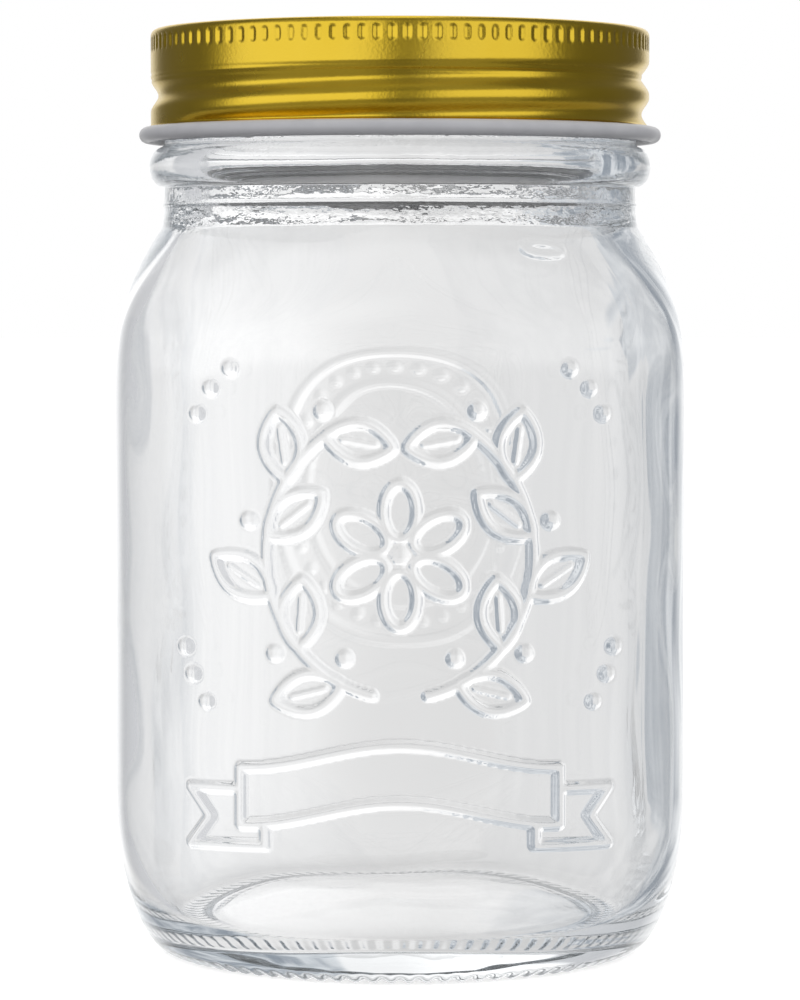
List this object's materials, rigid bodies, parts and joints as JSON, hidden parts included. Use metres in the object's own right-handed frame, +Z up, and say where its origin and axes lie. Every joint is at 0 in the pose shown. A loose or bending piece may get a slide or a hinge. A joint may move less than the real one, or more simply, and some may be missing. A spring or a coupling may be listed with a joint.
{
  "type": "mason jar",
  "caption": "Rounded-square clear glass preserving jar with a round threaded neck, closed by a flat sealing disc and a knurled gold screw band.",
  "frame": {"origin": "centre of the jar's round footprint, on the surface it stands on", "axes": "+Z up along the thread axis, the front relief panel faces -Y, +X is to the viewer's right"},
  "size_m": [0.0794, 0.0794, 0.1292],
  "materials": {
    "clear_glass": "clear soda-lime glass, smooth, with moulded relief",
    "sealing_compound": "soft matt sealing compound",
    "lid_lacquer": "satin gold lacquer on tinplate, white lacquer underneath",
    "band_lacquer": "satin gold lacquer on tinplate, white lacquer inside and on the outward curl"
  },
  "bodies": {
    "jar": {"glass_jar": "clear_glass"},
    "lid": {"lid_disc": "lid_lacquer", "sealing_ring": "sealing_compound"},
    "band": {"screw_band": "band_lacquer"}
  },
  "joints": [
    {"name": "lid_rise", "type": "slide", "parent": "jar", "child": "lid", "axis": [0, 0, 1], "range_m": [0, 0.01652]},
    {"name": "band_unscrew", "type": "hinge", "parent": "lid", "child": "band", "pos_m": [0, 0, 0.1213], "axis": [0, 0, 1], "range_deg": [0, 1170]}
  ],
  "couplings": [
    {"joint": "lid_rise", "follows": "band_unscrew", "m_per_rad": 0.00080851}
  ]
}
